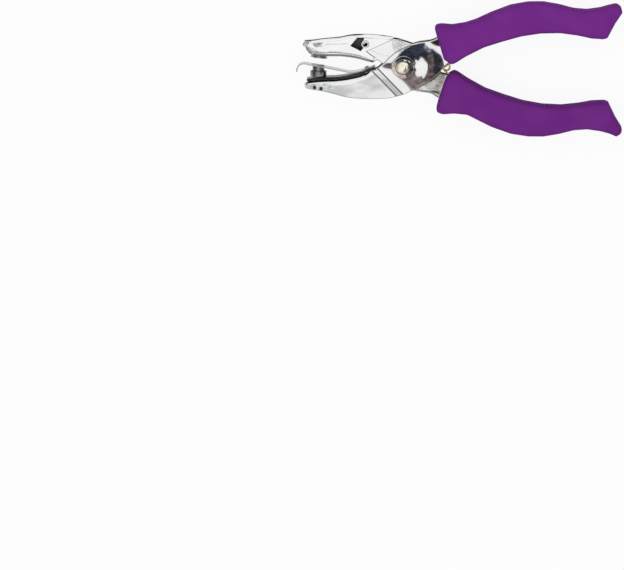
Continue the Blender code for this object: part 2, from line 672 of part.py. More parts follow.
def main():
    clear_scene()
    parts = new_collection(OBJECT_NAME)
    cutters = new_collection("cutters")
    chrome = material("bright_plate", (0.80, 0.80, 0.80), 0.12, 1.0)
    hardened = material("hardened_steel", (0.22, 0.22, 0.23), 0.30, 1.0)
    brass = material("spring_wire", (0.65, 0.52, 0.33), 0.28, 1.0)
    vinyl = material("soft_vinyl", (0.16, 0.024, 0.23), 0.50, 0.0)
    outer = make_outer_lever(parts, cutters, chrome)
    inner = make_inner_lever(parts, cutters, chrome)
    cover = make_chip_cover(parts, cutters, chrome)
    cut(cover, window_cutter("cover_window", 0, cutters))
    cut(inner, window_cutter("lever_window", CLEARANCE, cutters))
    make_eyelet("front_eyelet", 1, parts, chrome)
    make_eyelet("rear_eyelet", -1, parts, chrome)
    make_pivot(parts, chrome)
    plate = make_punch(parts, cutters, chrome, hardened, outer)
    make_die(parts, cutters, chrome, inner)
    make_leaf(parts, cutters, chrome, hardened, outer, plate)
    make_spring(parts, brass)
    make_grip("upper_grip", False, whole(outer_lever_chains()), PLATE_OUTER, parts, cutters, vinyl)
    make_grip("lower_grip", True, whole(inner_lever_chains()), JAW_HALF_WIDTH, parts, cutters, vinyl)


main()
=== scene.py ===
# Circle hand punch, lying on its side on a pale floor
#
# Lengths are in metres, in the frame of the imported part: X along the tool, Y from the
# lower jaw to the upper jaw, Z its thickness, and the pivot's axis at X = Y = 0.
import json
import math

import bmesh
import bpy
from mathutils import Euler, Matrix, Vector


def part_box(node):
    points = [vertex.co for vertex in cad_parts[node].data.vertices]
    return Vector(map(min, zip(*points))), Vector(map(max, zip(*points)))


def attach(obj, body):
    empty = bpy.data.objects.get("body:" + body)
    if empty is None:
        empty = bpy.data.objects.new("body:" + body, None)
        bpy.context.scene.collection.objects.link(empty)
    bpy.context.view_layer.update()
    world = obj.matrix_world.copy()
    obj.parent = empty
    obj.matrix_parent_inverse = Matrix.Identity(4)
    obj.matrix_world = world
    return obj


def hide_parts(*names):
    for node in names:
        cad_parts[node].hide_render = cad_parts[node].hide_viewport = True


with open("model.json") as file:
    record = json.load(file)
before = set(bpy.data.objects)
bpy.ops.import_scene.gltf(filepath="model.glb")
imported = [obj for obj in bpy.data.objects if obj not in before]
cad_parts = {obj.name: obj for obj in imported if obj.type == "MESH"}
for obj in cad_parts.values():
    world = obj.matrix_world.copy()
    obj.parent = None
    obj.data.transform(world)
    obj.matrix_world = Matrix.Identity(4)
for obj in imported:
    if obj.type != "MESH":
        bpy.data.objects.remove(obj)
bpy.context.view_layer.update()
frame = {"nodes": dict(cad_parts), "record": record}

NODES = frame["nodes"]
BODIES = frame["record"]["behaviour"]["bodies"]
BODY_OF = {node: body for body, nodes in BODIES.items() for node in nodes}

MILLIMETRES = 1000
WELD = 0.000001

# The tool's own sizes: its mid-plane, and the reach and rise that shares are taken of
MID_HEIGHT = 0.0085
HUB = (0.0200, 0.0165)
HANDLE = (0.1090, 0.0340)
SQUEEZE = math.radians(5.6)
TURNED_SIDES = 72
TURNED_SHARP = 40.0
EASE_SHARE = 0.45

# Pivot rivet and its washers: heights are from the mid-plane
HEAD_RADIUS = 0.0039
HEAD_TOP = 0.0085
HEAD_FOOT = 0.0072
DOME_RISE = 0.0008
DOME_POWER = 3.5
DOME_STEPS = 16
SHANK_RADIUS = 0.0020
TAIL_DIMPLE = (0.0009, 0.0007)
TAIL_DIMPLE_TOP = -0.0082
RIVET_EASE = 0.0003
WASHER_BORE = 0.0023
WASHER_EASE = 0.00012

# Cover eyelets
EYELET_BORE = 0.0012
EYELET_WALL = 0.0004
EYELET_FLANGE = 0.0006
EYELET_MARGIN = 0.0002
ROLLED_EASE = 0.00028
CLOSED_EASE = 0.00025
CLOSED_DEPTH = 0.0005
CLOSED_FLOOR = 0.7

# Punch, collar and die
TIP_HOLLOW = 0.0005
TIP_FLOOR = 0.45
TIP_LAND = 0.0003
TIP_BREAK = 0.0001
PUNCH_TAIL_RADIUS = 0.0020
PUNCH_EASE = 0.00012
RING_PLAY = 0.0003
COLLAR_EASE = 0.00035
DIE_RADIUS = 0.0042
DIE_THICKNESS = 0.0008

# Return spring: the coil on the sleeve, the small loop behind the plates and the two legs
COIL_RADIUS = 0.0038
WIRE_RADIUS = 0.0005
WIRE_SHARP = 50.0
SPRING_PITCH = 0.0015
SPRING_TURNS = 3
CURL_POINTS = 24
LEG_STEPS = 6
LEG_CROSS = (1.02, -0.030)
LOWER_LEG = ((1.36, -0.680), (1.195, -0.300), (1.0045, -0.0703))
UPPER_LEG = (LEG_CROSS, (1.11, 0.055), (1.17, 0.210), (1.36, 0.760))
LOOP_PLACE = (0.0214, 0.00015)
LOOP_RADIUS = 0.00185
LOOP_START = math.radians(225)
LOOP_TURN = math.radians(389)
LOOP_FALL = 0.0012
LOOP_POINTS = 40
BRIDGE = ((0.0194, 0.0005), (0.0184, 0.0007))
BRIDGE_STEPS = 3

# Pressed sheet: broken edges, the fold angles that show as edges, and the offset bend
LEVER_BREAK = 0.00032
COVER_BREAK = 0.00025
BROKEN_FROM = math.radians(50)
CREASE_FLAT = math.radians(10)
CREASE_BENT = math.radians(34)
NEARLY_FLAT = 0.8
INSIDE_FACING = 0.9
OFFSET_SIDE = Vector((-0.70711, -0.70711, 0.0))
OFFSET_BAND = (0.0093, 0.0130)
OFFSET_RISE = 0.0013
OFFSET_STEEP = (0.19, 0.28)
OFFSET_END = 0.02

# Clamp rivets: the way their heads face, and how far down they are pressed flat
CLAMP_UP = Vector((-0.4195, 0.9078, 0.0))
CLAMP_HEAD = 0.0005
CLAMP_FLATTENED = 0.65
CLAMP_SHARP = 32.0

# Soft grips: outlines as shares of the handle's reach and rise
UPPER_GRIP_OUTER = (
    (0.144, 0.575), (0.150, 0.610), (0.172, 0.626), (0.225, 0.615), (0.285, 0.649),
    (0.335, 0.704), (0.40, 0.806), (0.49, 0.920), (0.57, 0.969), (0.64, 0.974), (0.71, 0.939),
    (0.78, 0.884), (0.84, 0.872), (0.90, 0.902), (0.945, 0.945))
LOWER_GRIP_OUTER = (
    (0.146, 0.600), (0.150, 0.650), (0.176, 0.680), (0.227, 0.665), (0.288, 0.680),
    (0.338, 0.757), (0.40, 0.853), (0.49, 0.950), (0.57, 0.985), (0.64, 0.982), (0.71, 0.940),
    (0.78, 0.880), (0.84, 0.864), (0.90, 0.888), (0.945, 0.925))
GRIP_END = ((0.974, 0.966), (0.995, 0.920), (1.000, 0.850), (0.968, 0.690), (0.943, 0.530))
GRIP_INNER = (
    (0.935, 0.474), (0.915, 0.455), (0.86, 0.465), (0.80, 0.504), (0.72, 0.535),
    (0.63, 0.526), (0.54, 0.477), (0.45, 0.391), (0.37, 0.304), (0.29, 0.168),
    (0.240, 0.064), (0.222, 0.046), (0.188, 0.120), (0.161, 0.395))
UPPER_GRIP_SHIFT = (-0.0004, 0.0, 0.0)
LOWER_GRIP_SHIFT = (0.0009, -0.0004, 0.0)
GRIP_HALF_THICKNESS = 0.0085
GRIP_ROUND = 0.0030
GRIP_VOXEL = 0.0005
GRIP_RELAX = 8

# Camera, floor and softbox
CAMERA_PLACE = (0.03277, 0.22353, 2.00209)
CAMERA_TURN = (-9.5227, 2.3387, 0.7250)
CAMERA_LENS = 230.77
CAMERA_REACH = 50.0
SENSOR_WIDTH = 36.0
FLOOR_HALF = 6.0
FLOOR_DROP = 0.0002
FLOOR_GLOW = 0.90
SOFTBOX_SIZE = 0.8
SOFTBOX_PLACE = (0.0, -0.20, 1.60)
SOFTBOX_POWER = 2.1

# Cards: the height of the cheeks that mirror them, and their own
CHEEK_HEIGHT = 0.0146
CARD_HEIGHT = 0.0446


def grey(value):
    return (value, value, value)


# The tent's tones by how far up a ray looks: what metal mirrors goes from the pale ones to
# the dark ones towards one side, and the even ones light all the rest
TENT_DARK_SIDE = (0.60, 0.80, 0.0)
TENT_BLEND = (-0.6, 0.5)
TENT_DARK = ((0.0, grey(0.60)), (0.10, grey(0.25)), (0.20, grey(0.02)),
             (0.70, grey(0.02)), (0.90, grey(0.30)), (0.96, grey(1.0)))
TENT_PALE = ((0.0, grey(0.70)), (0.16, grey(0.40)), (0.30, grey(0.12)),
             (0.55, grey(0.16)), (0.80, grey(0.50)), (0.95, grey(1.0)))
TENT_EVEN = ((0.0, grey(0.20)), (0.35, grey(0.36)), (0.75, grey(1.0)))
TENT_EVEN_POWER = 1.09


# Finishes
CLOUD_SCALE = 180.0
GRAIN_SCALE = 2600.0
GRAIN_DEPTH = 0.0000008
GRAIN_STRENGTH = 0.5
ROLL_SCALE = 90.0
ROLL_DEPTH = 0.00008
VINYL_GLOSS = 0.03
VINYL_IOR = 1.08
VINYL_ROUGHNESS = (0.40, 0.58)
VINYL_CLOUD_SCALE = 70.0
VINYL_PATCH_SCALE = 240.0
SAG_SCALE = 45.0
SAG_DEPTH = 0.00025
PORE_SCALE = 3200.0
PORE_DEPTH = 0.00002
CLOUD_LOW = 0.3
CLOUD_HIGH = 0.7
FINE_ALONG_X = (8.0, 1.0, 1.0)
FINE_ALONG_Y = (1.0, 8.0, 1.0)
CARD_STRETCH = (1.0, 1.8, 1.0)
PAPER_TONES = (grey(0.91), grey(0.94))
PAPER_CLOUD_SCALE = 3.0
PAPER_ROUGHNESS = 0.9
PAPER_GLOSS = 0.1


def new_material(name):
    made = bpy.data.materials.new(name)
    made.use_nodes = True
    return made, made.node_tree.nodes, made.node_tree.links


def noise(nodes, links, scale, detail=3.0, stretch=(1.0, 1.0, 1.0)):
    place = nodes.new("ShaderNodeTexCoord")
    mapping = nodes.new("ShaderNodeMapping")
    mapping.inputs["Scale"].default_value = stretch
    links.new(place.outputs["Object"], mapping.inputs["Vector"])
    grain = nodes.new("ShaderNodeTexNoise")
    grain.inputs["Scale"].default_value = scale
    grain.inputs["Detail"].default_value = detail
    links.new(mapping.outputs["Vector"], grain.inputs["Vector"])
    return grain.outputs["Fac"]


def ramp(nodes, links, value, stops):
    made = nodes.new("ShaderNodeValToRGB")
    line = made.color_ramp
    while len(line.elements) < len(stops):
        line.elements.new(0.5)
    for element, (place, colour) in zip(line.elements, stops):
        element.position = place
        element.color = (*colour, 1.0)
    links.new(value, made.inputs["Fac"])
    return made.outputs["Color"]


def spread(nodes, links, value, low, high, start=CLOUD_LOW, stop=CLOUD_HIGH):
    made = nodes.new("ShaderNodeMapRange")
    made.inputs["From Min"].default_value = start
    made.inputs["From Max"].default_value = stop
    made.inputs["To Min"].default_value = low
    made.inputs["To Max"].default_value = high
    links.new(value, made.inputs["Value"])
    return made.outputs["Result"]


def bump(nodes, links, height, distance, strength, below=None):
    made = nodes.new("ShaderNodeBump")
    made.inputs["Distance"].default_value = distance
    made.inputs["Strength"].default_value = strength
    links.new(height, made.inputs["Height"])
    if below:
        links.new(below, made.inputs["Normal"])
    return made.outputs["Normal"]


def cloudy_colour(nodes, links, scale, detail, tones):
    cloud = noise(nodes, links, scale, detail)
    return ramp(nodes, links, cloud, ((CLOUD_LOW, tones[0]), (CLOUD_HIGH, tones[1])))


def metal(name, tones, gloss, stretch=(1.0, 1.0, 1.0), metallic=1.0):
    """A bare or plated metal: cloudy tone, uneven gloss, fine grain and a faint roll."""
    made, nodes, links = new_material(name)
    shader = nodes["Principled BSDF"]
    shader.inputs["Metallic"].default_value = metallic
    colour = cloudy_colour(nodes, links, CLOUD_SCALE, 3.0, tones)
    links.new(colour, shader.inputs["Base Color"])
    grain = noise(nodes, links, GRAIN_SCALE, 4.0, stretch)
    links.new(spread(nodes, links, grain, *gloss), shader.inputs["Roughness"])
    roll = bump(nodes, links, noise(nodes, links, ROLL_SCALE, 1.0), ROLL_DEPTH, 1.0)
    fine = bump(nodes, links, grain, GRAIN_DEPTH, GRAIN_STRENGTH, roll)
    links.new(fine, shader.inputs["Normal"])
    return made


def soft_vinyl(name, dark, light):
    made, nodes, links = new_material(name)
    shader = nodes["Principled BSDF"]
    shader.inputs["Specular IOR Level"].default_value = VINYL_GLOSS
    shader.inputs["IOR"].default_value = VINYL_IOR
    colour = cloudy_colour(nodes, links, VINYL_CLOUD_SCALE, 4.0, (dark, light))
    links.new(colour, shader.inputs["Base Color"])
    patches = noise(nodes, links, VINYL_PATCH_SCALE, 5.0)
    links.new(spread(nodes, links, patches, *VINYL_ROUGHNESS), shader.inputs["Roughness"])
    sag = bump(nodes, links, noise(nodes, links, SAG_SCALE, 2.0), SAG_DEPTH, 0.5)
    pores = bump(nodes, links, noise(nodes, links, PORE_SCALE, 2.0), PORE_DEPTH, 0.6, sag)
    links.new(pores, shader.inputs["Normal"])
    return made


CHROME = metal("bright_plated_sheet", ((0.82, 0.82, 0.83), (0.88, 0.88, 0.88)), (0.04, 0.09))
COVER_CHROME = metal("bright_cover_sheet", ((0.86, 0.86, 0.86), (0.92, 0.92, 0.91)),
                     (0.04, 0.08))
RIVET_CHROME = metal("turned_bright_rivet", ((0.86, 0.82, 0.72), (0.92, 0.89, 0.82)),
                     (0.05, 0.10))
GROUND_STEEL = metal("ground_punch_steel", ((0.24, 0.24, 0.26), (0.40, 0.40, 0.42)),
                     (0.18, 0.34), FINE_ALONG_Y)
DARK_STEEL = metal("blackened_steel", ((0.018, 0.018, 0.020), (0.050, 0.050, 0.055)),
                   (0.22, 0.42))
COLLAR_STEEL = metal("blued_collar_steel", ((0.14, 0.14, 0.145), (0.35, 0.35, 0.355)),
                     (0.14, 0.26))
# Painted shade: the dark inside faces of the inner lever and the chip cover stand in for the
# shade in their channels
PAINTED_SHADE_INSIDE = metal("painted_shade_inside", ((0.05, 0.05, 0.055), (0.12, 0.12, 0.12)),
                    (0.30, 0.50))
PALE_INSIDE = metal("plated_inside", ((0.70, 0.70, 0.71), (0.80, 0.80, 0.80)), (0.10, 0.20))
LEAF_STEEL = metal("spring_leaf_steel", ((0.29, 0.29, 0.30), (0.43, 0.43, 0.43)),
                   (0.14, 0.26), FINE_ALONG_X)
BRASS_WIRE = metal("brass_coated_wire", ((0.80, 0.58, 0.24), (0.95, 0.76, 0.42)),
                   (0.18, 0.30), metallic=0.8)
UPPER_VINYL = soft_vinyl("purple_soft_vinyl_upper", (0.163, 0.0232, 0.237),
                         (0.188, 0.0314, 0.267))
LOWER_VINYL = soft_vinyl("purple_soft_vinyl_lower", (0.146, 0.0206, 0.206),
                         (0.168, 0.0286, 0.237))

NODE_FINISHES = {
    "pivot_sleeve": GROUND_STEEL, "punch_plate": DARK_STEEL, "punch_block": DARK_STEEL,
    "nose_block_pin": DARK_STEEL, "rear_block_pin": DARK_STEEL, "stripper_leaf": LEAF_STEEL,
    "leaf_clamp": GROUND_STEEL,
}


# Outlines: shares of a reach and a rise become points, and corners become curves
def scaled(shares, size):
    return [Vector((along * size[0], up * size[1])) for along, up in shares]


def smoothed(points, steps):
    """A curve through the points, with this many steps from each one to the next."""
    ends = [points[0] * 2 - points[1]] + list(points) + [points[-1] * 2 - points[-2]]
    curve = []
    for before, start, stop, after in zip(ends, ends[1:], ends[2:], ends[3:]):
        for step in range(steps):
            t = step / steps
            curve.append(0.5 * (2 * start + (stop - before) * t
                                + (2 * before - 5 * start + 4 * stop - after) * t ** 2
                                + (3 * start - before - 3 * stop + after) * t ** 3))
    return curve + [points[-1].copy()]


def mirrored(points):
    return [Vector((point.x, -point.y)) for point in reversed(points)]


def raised(points, height):
    return [point.to_3d() + Vector((0, 0, height)) for point in points]


def flat_plate(outline, half_width):
    """A bmesh of a flat outline about the tool's mid-plane, twice the half width thick."""
    shape = bmesh.new()
    rim = [shape.verts.new((*point, MID_HEIGHT - half_width)) for point in outline]
    face = shape.faces.new(rim)
    grown = bmesh.ops.extrude_face_region(shape, geom=[face])
    lifted = [item for item in grown["geom"] if isinstance(item, bmesh.types.BMVert)]
    bmesh.ops.translate(shape, verts=lifted, vec=(0, 0, 2 * half_width))
    bmesh.ops.recalc_face_normals(shape, faces=shape.faces)
    return shape


# Objects: made from a shape, shaded and dressed
def new_object(name, shape):
    mesh = bpy.data.meshes.new(name)
    shape.to_mesh(mesh)
    shape.free()
    made = bpy.data.objects.new(name, mesh)
    bpy.context.scene.collection.objects.link(made)
    return made


def evaluated_mesh(made):
    return bpy.data.meshes.new_from_object(
        made.evaluated_get(bpy.context.evaluated_depsgraph_get()))


def dress(made, finish, *nodes):
    """Gives a piece its finish, its body and the nodes that it stands for."""
    made.data.materials.append(finish)
    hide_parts(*nodes)
    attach(made, BODY_OF[nodes[0]])
    return made


def keep_flat(made):
    """Lets the flat faces rule the shading of the bends beside them."""
    weighted = made.modifiers.new("flat faces", "WEIGHTED_NORMAL")
    weighted.mode = "FACE_AREA"
    weighted.weight = 100
    weighted.keep_sharp = True
    return made


def flat_faced(made, angle):
    """Smooth bends, up to an angle, beside flat faces that stay flat."""
    made.data.shade_smooth()
    made.data.set_sharp_from_angle(angle=math.radians(angle))
    return keep_flat(made)


# Turned pieces: a profile of radius and height with its corners eased, spun about Z
def eased(profile, radius):
    """The profile with every corner between its two ends rounded a little."""
    points = [Vector(point) for point in profile]
    line = [points[0]]
    for before, corner, after in zip(points, points[1:], points[2:]):
        back, ahead = before - corner, after - corner
        reach = min(radius, back.length * EASE_SHARE, ahead.length * EASE_SHARE)
        start = corner + back.normalized() * reach
        stop = corner + ahead.normalized() * reach
        line += [start, (start + stop + 2 * corner) / 4, stop]
    return line + [points[-1]]


def turned_piece(name, profile):
    shape = bmesh.new()
    ring = [shape.verts.new((point.x, 0, point.y)) for point in profile]
    edges = [shape.edges.new(pair) for pair in zip(ring, ring[1:])]
    bmesh.ops.spin(shape, geom=[*ring, *edges], cent=(0, 0, 0), axis=(0, 0, 1),
                   angle=2 * math.pi, steps=TURNED_SIDES, use_merge=True)
    bmesh.ops.remove_doubles(shape, verts=shape.verts, dist=WELD)
    bmesh.ops.recalc_face_normals(shape, faces=shape.faces)
    return new_object(name, shape)


def seated(made, place, turn=Matrix.Identity(4)):
    """Puts a turned piece in its place and leaves its object at the origin."""
    made.data.transform(Matrix.Translation(place) @ turn)
    return flat_faced(made, TURNED_SHARP)


def ring_profile(inner, outer, low, high, ease):
    """The closed profile of a ring, which starts and ends inside its bore."""
    middle = (low + high) / 2
    corners = ((inner, high), (outer, high), (outer, low), (inner, low))
    return eased(((inner, middle), *corners, (inner, middle)), ease)


def middle_of(node):
    low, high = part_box(node)
    return (low + high) / 2


def make_pivot():
    dome = [Vector((HEAD_RADIUS * step / DOME_STEPS,
                    HEAD_TOP - DOME_RISE * (step / DOME_STEPS) ** DOME_POWER))
            for step in range(DOME_STEPS + 1)]
    below = eased((dome[-1], (HEAD_RADIUS, HEAD_FOOT), (SHANK_RADIUS, HEAD_FOOT),
                   (SHANK_RADIUS, -HEAD_FOOT), (HEAD_RADIUS, -HEAD_FOOT),
                   (HEAD_RADIUS, -HEAD_TOP), (TAIL_DIMPLE[0], -HEAD_TOP),
                   (TAIL_DIMPLE[1], TAIL_DIMPLE_TOP), (0, TAIL_DIMPLE_TOP)), RIVET_EASE)
    rivet = turned_piece("domed_pivot_rivet", dome + below[1:])
    dress(seated(rivet, Vector((0, 0, MID_HEIGHT))), RIVET_CHROME, "pivot_rivet")
    for node in ("front_washer", "rear_washer"):
        low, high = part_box(node)
        profile = ring_profile(WASHER_BORE, high.x, low.z, high.z, WASHER_EASE)
        washer = turned_piece(node + "_stamped", profile)
        dress(seated(washer, Vector((0, 0, 0))), CHROME, node)


def eyelet_outside(node):
    """Half an eyelet's height, and its profile's outside from the upper rim to the lower one."""
    low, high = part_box(node)
    half = (high.z - low.z) / 2
    flange = (high.x - low.x) / 2 - EYELET_MARGIN
    tube = EYELET_BORE + EYELET_WALL
    return half, ((flange, half), (flange, half - EYELET_FLANGE),
                  (tube, half - EYELET_FLANGE), (tube, EYELET_FLANGE - half),
                  (flange, EYELET_FLANGE - half), (flange, -half))


def make_cover_eyelets():
    """The front one is a rolled tube, the rear one is closed."""
    half, outside = eyelet_outside("front_eyelet")
    profile = eased(((EYELET_BORE, 0), (EYELET_BORE, half), *outside,
                     (EYELET_BORE, -half), (EYELET_BORE, 0)), ROLLED_EASE)
    front = turned_piece("front_rolled_eyelet", profile)
    dress(seated(front, middle_of("front_eyelet")), CHROME, "front_eyelet")

    half, outside = eyelet_outside("rear_eyelet")
    deep = half - CLOSED_DEPTH
    profile = eased(((0, deep), (EYELET_BORE * CLOSED_FLOOR, deep), (EYELET_BORE, half),
                     *outside, (0, -half)), CLOSED_EASE)
    rear = turned_piece("rear_closed_eyelet", profile)
    upside_down = Matrix.Rotation(math.pi, 4, "X")
    dress(seated(rear, middle_of("rear_eyelet"), upside_down), CHROME, "rear_eyelet")


def make_punch():
    """The punch, its collar and the die, turned about the punch's line."""
    upright = Matrix.Rotation(-math.pi / 2, 4, "X")
    low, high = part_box("punch_pin")
    collar_low, collar_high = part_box("punch_collar")
    place = middle_of("punch_pin")
    place.y = 0
    tip, foot, shoulder, radius = high.y, low.y, collar_low.y, (high.x - low.x) / 2
    profile = eased(((0, tip - TIP_HOLLOW), (radius * TIP_FLOOR, tip - TIP_HOLLOW),
                     (radius - TIP_LAND, tip), (radius, tip - TIP_BREAK),
                     (radius, shoulder), (PUNCH_TAIL_RADIUS, shoulder),
                     (PUNCH_TAIL_RADIUS, foot), (0, foot)), PUNCH_EASE)
    punch = turned_piece("ground_punch_pin", profile)
    dress(seated(punch, place, upright), GROUND_STEEL, "punch_pin")

    bore = radius + RING_PLAY
    profile = ring_profile(bore, (collar_high.x - collar_low.x) / 2, collar_low.y,
                           collar_high.y, COLLAR_EASE)
    collar = turned_piece("punch_foot_collar", profile)
    dress(seated(collar, place, upright), COLLAR_STEEL, "punch_collar")

    profile = ring_profile(bore, DIE_RADIUS, -DIE_THICKNESS / 2, DIE_THICKNESS / 2,
                           PUNCH_EASE)
    die = turned_piece("hardened_die_ring", profile)
    squared = Matrix.Rotation(-SQUEEZE, 4, "Z") @ upright
    dress(seated(die, middle_of("die_ring"), squared), GROUND_STEEL, "die_ring")


# The return spring: a coil on the pivot's sleeve and two crossed legs in the handles
def around(centre, radius, turn, height):
    return Vector((centre[0] + radius * math.cos(turn), centre[1] + radius * math.sin(turn),
                   height))


def spring_line():
    """The wire's middle: lower leg, small loop, a bridge to the coil, coil and upper leg."""
    cross = scaled((LEG_CROSS,), HUB)[0]
    swing = math.acos(COIL_RADIUS / cross.length)
    start = math.atan2(cross.y, cross.x) + swing
    stop = math.atan2(cross.y, cross.x) - swing + 2 * math.pi * (SPRING_TURNS + 1)
    turns = (stop - start) / (2 * math.pi)
    count = round(CURL_POINTS * turns)
    half = SPRING_PITCH * turns / 2
    line = raised(smoothed(scaled(LOWER_LEG, HUB), LEG_STEPS), half)
    line += [around(LOOP_PLACE, LOOP_RADIUS, LOOP_START - LOOP_TURN * step / LOOP_POINTS,
                    half - LOOP_FALL * step / LOOP_POINTS) for step in range(LOOP_POINTS + 1)]
    bridge = smoothed([line[-1].xy, *(Vector(place) for place in BRIDGE),
                       around((0, 0), COIL_RADIUS, start, 0).xy], BRIDGE_STEPS)
    line += [point.to_3d() + Vector((0, 0, half - LOOP_FALL * (1 - step / len(bridge))))
             for step, point in enumerate(bridge) if step]
    line += [around((0, 0), COIL_RADIUS, start + (stop - start) * step / count,
                    half - 2 * half * step / count) for step in range(count + 1)]
    line += raised(smoothed(scaled(UPPER_LEG, HUB), LEG_STEPS), -half)
    return raised(line, MID_HEIGHT)


def make_spring():
    line = spring_line()
    curve = bpy.data.curves.new("return_spring_wire", "CURVE")
    curve.dimensions = "3D"
    curve.bevel_depth = WIRE_RADIUS
    curve.bevel_resolution = 3
    curve.use_fill_caps = True
    spline = curve.splines.new("POLY")
    spline.points.add(len(line) - 1)
    for knot, point in zip(spline.points, line):
        knot.co = (*point, 1)
    wire = bpy.data.objects.new("return_spring_wire", curve)
    bpy.context.scene.collection.objects.link(wire)
    mesh = evaluated_mesh(wire)
    bpy.data.objects.remove(wire)
    shape = bmesh.new()
    shape.from_mesh(mesh)
    bmesh.ops.remove_doubles(shape, verts=shape.verts, dist=WELD)
    bmesh.ops.recalc_face_normals(shape, faces=shape.faces)
    spring = flat_faced(new_object("wound_return_spring", shape), WIRE_SHARP)
    dress(spring, BRASS_WIRE, "return_spring")


# Pressed sheet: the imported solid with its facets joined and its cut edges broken
def form_offset(shape):
    """Forms the slanted offset bend: steeper beside its two creases than between them."""
    low, high = OFFSET_BAND
    width, fall = OFFSET_STEEP
    for share in (width, 1 - width):
        bmesh.ops.bisect_plane(shape, geom=shape.verts[:] + shape.edges[:] + shape.faces[:],
                               dist=WELD, plane_no=OFFSET_SIDE,
                               plane_co=OFFSET_SIDE * (low + (high - low) * share))
    for vert in shape.verts:
        share = (vert.co.dot(OFFSET_SIDE) - low) / (high - low)
        if OFFSET_END < share < 1 - OFFSET_END:
            if share <= width:
                formed = share * fall / width
            elif share >= 1 - width:
                formed = 1 - (1 - share) * fall / width
            else:
                formed = fall + (share - width) * (1 - 2 * fall) / (1 - 2 * width)
            side = math.copysign(1, vert.co.z - MID_HEIGHT)
            vert.co.z -= OFFSET_RISE * (formed - share) * side
    shape.normal_update()


def pressed(node, name, finish, edge_break, inside):
    """One sheet, with its inside faces in a tone of their own; a dark one is painted shade."""
    shape = bmesh.new()
    shape.from_mesh(NODES[node].data)
    bmesh.ops.remove_doubles(shape, verts=shape.verts, dist=2 * WELD)
    sharp = [edge for edge in shape.edges
             if len(edge.link_faces) == 2 and edge.calc_face_angle() > BROKEN_FROM]
    bmesh.ops.bevel(shape, geom=sharp, offset=edge_break, offset_type="OFFSET", segments=2,
                    profile=0.5, affect="EDGES", material=-1, clamp_overlap=False)
    if node == "outer_lever":
        form_offset(shape)
    for face in shape.faces:
        side = math.copysign(1, face.calc_center_median().z - MID_HEIGHT)
        face.material_index = int(face.normal.z * side < -INSIDE_FACING)
        face.smooth = True
    for edge in shape.edges:
        if len(edge.link_faces) == 2:
            flat = min(abs(face.normal.z) for face in edge.link_faces) > NEARLY_FLAT
            edge.smooth = edge.calc_face_angle() < (CREASE_FLAT if flat else CREASE_BENT)
    made = dress(new_object(name, shape), finish, node)
    made.data.materials.append(inside)
    keep_flat(made)


def flat_headed(node, name, finish):
    """A clamp rivet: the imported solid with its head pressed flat."""
    shape = bmesh.new()
    shape.from_mesh(NODES[node].data)
    rim = max(vert.co.dot(CLAMP_UP) for vert in shape.verts) - CLAMP_HEAD
    for vert in shape.verts:
        vert.co -= CLAMP_UP * max(0.0, vert.co.dot(CLAMP_UP) - rim) * CLAMP_FLATTENED
    dress(flat_faced(new_object(name, shape), CLAMP_SHARP), finish, node)


def soft_grip(name, node, finish, outline, shift):
    """Dipped vinyl over a handle's core: an outline with round rims, relaxed all over."""
    shape = flat_plate(outline, GRIP_HALF_THICKNESS)
    rims = [edge for edge in shape.edges
            if abs(edge.verts[0].co.z - edge.verts[1].co.z) < GRIP_ROUND / 2]
    bmesh.ops.bevel(shape, geom=rims, offset=GRIP_ROUND, offset_type="OFFSET", segments=4,
                    profile=0.5, affect="EDGES", material=-1)
    bmesh.ops.translate(shape, verts=shape.verts, vec=shift)
    grip = new_object(name, shape)
    skin = grip.modifiers.new("dip", "REMESH")
    skin.mode = "VOXEL"
    skin.voxel_size = GRIP_VOXEL
    skin.use_smooth_shade = True
    relaxed = grip.modifiers.new("relax", "SMOOTH")
    relaxed.factor = 0.5
    relaxed.iterations = GRIP_RELAX
    mesh = evaluated_mesh(grip)
    grip.modifiers.clear()
    grip.data = mesh
    grip.data.shade_smooth()
    dress(grip, finish, node)


def make_grips():
    upper = scaled(UPPER_GRIP_OUTER + GRIP_END + GRIP_INNER, HANDLE)
    lower = mirrored(scaled(LOWER_GRIP_OUTER + GRIP_END + GRIP_INNER, HANDLE))
    soft_grip("upper_dipped_grip", "upper_grip", UPPER_VINYL, upper, UPPER_GRIP_SHIFT)
    soft_grip("lower_dipped_grip", "lower_grip", LOWER_VINYL, lower, LOWER_GRIP_SHIFT)


pressed("outer_lever", "outer_lever_pressing", CHROME, LEVER_BREAK, PALE_INSIDE)
# The inner lever's and the chip cover's inside faces are painted shade
pressed("inner_lever", "inner_lever_pressing", CHROME, LEVER_BREAK, PAINTED_SHADE_INSIDE)
pressed("chip_cover", "chip_cover_pressing", COVER_CHROME, COVER_BREAK, PAINTED_SHADE_INSIDE)
make_pivot()
make_cover_eyelets()
make_punch()
make_spring()
flat_headed("front_clamp_rivet", "front_flat_headed_rivet", GROUND_STEEL)
flat_headed("rear_clamp_rivet", "rear_flat_headed_rivet", GROUND_STEEL)
make_grips()
for node, finish in NODE_FINISHES.items():
    for place in NODES[node].material_slots:
        place.material = finish


# Floor, world, softbox and camera
def either(nodes, links, first, second):
    made = nodes.new("ShaderNodeMath")
    made.operation = "MAXIMUM"
    links.new(first, made.inputs[0])
    links.new(second, made.inputs[1])
    return made.outputs[0]


def seen_directly(nodes, links):
    """1 for the rays that show a background: to the camera, in metal and through glass."""
    path = nodes.new("ShaderNodeLightPath")
    shown = either(nodes, links, path.outputs["Is Camera Ray"], path.outputs["Is Glossy Ray"])
    return either(nodes, links, shown, path.outputs["Is Transmission Ray"])


